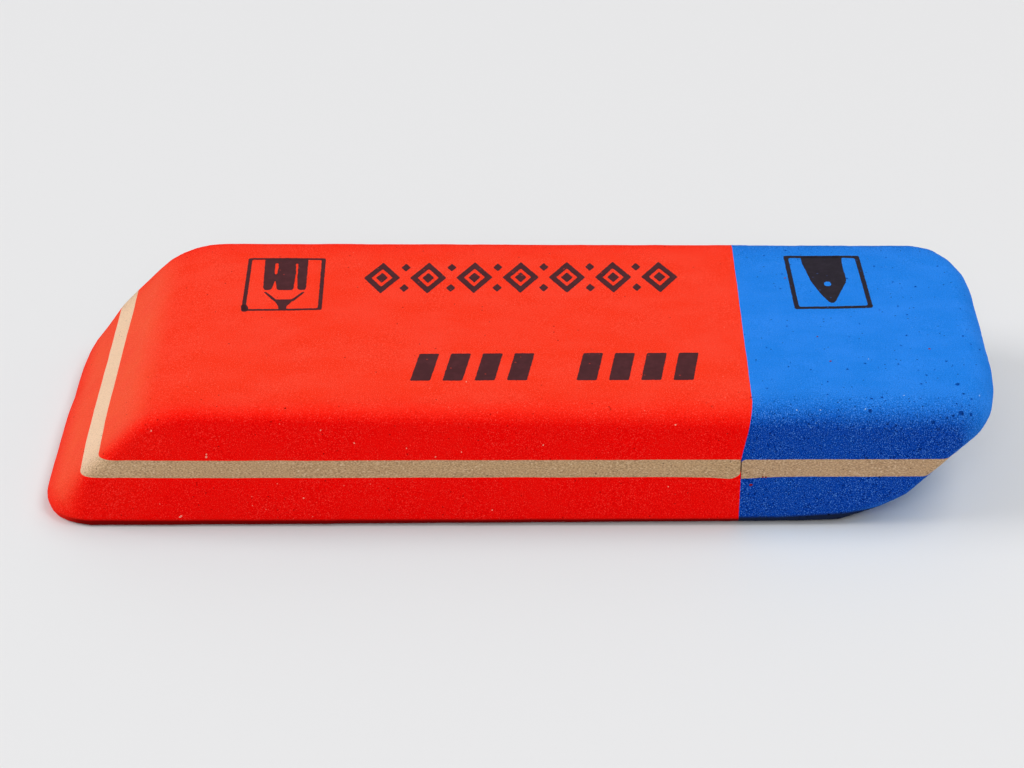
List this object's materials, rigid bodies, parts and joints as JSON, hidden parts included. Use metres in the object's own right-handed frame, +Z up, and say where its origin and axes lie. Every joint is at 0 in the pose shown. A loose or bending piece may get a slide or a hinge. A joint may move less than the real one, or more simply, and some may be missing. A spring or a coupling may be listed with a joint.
{
  "type": "rubber eraser",
  "caption": "Slanted red and blue rubber eraser with a pale middle strip, softened edges and a butt joint between its soft and gritty ends.",
  "frame": {"origin": "middle of the block's box in X and Y, on the face it rests on", "axes": "+X along the block to the blue nose, -X to the red tip; +Z up through the plies; -Y is the front"},
  "size_m": [0.058, 0.0208, 0.0083],
  "materials": {
    "red_rubber": "matt, fine-grained, softened by tumbling",
    "blue_rubber": "matt and gritty, with small open pits",
    "red_side_pale_rubber": "matt, finely speckled",
    "blue_side_pale_rubber": "matt, finely speckled",
    "black_print": "matt printing ink, thinly laid on the rubber"
  },
  "bodies": {
    "root": {"red_bottom_ply": "red_rubber", "red_pale_strip": "red_side_pale_rubber", "red_top_ply": "red_rubber", "blue_bottom_ply": "blue_rubber", "blue_pale_strip": "blue_side_pale_rubber", "blue_top_ply": "blue_rubber"}
  },
  "joints": []
}
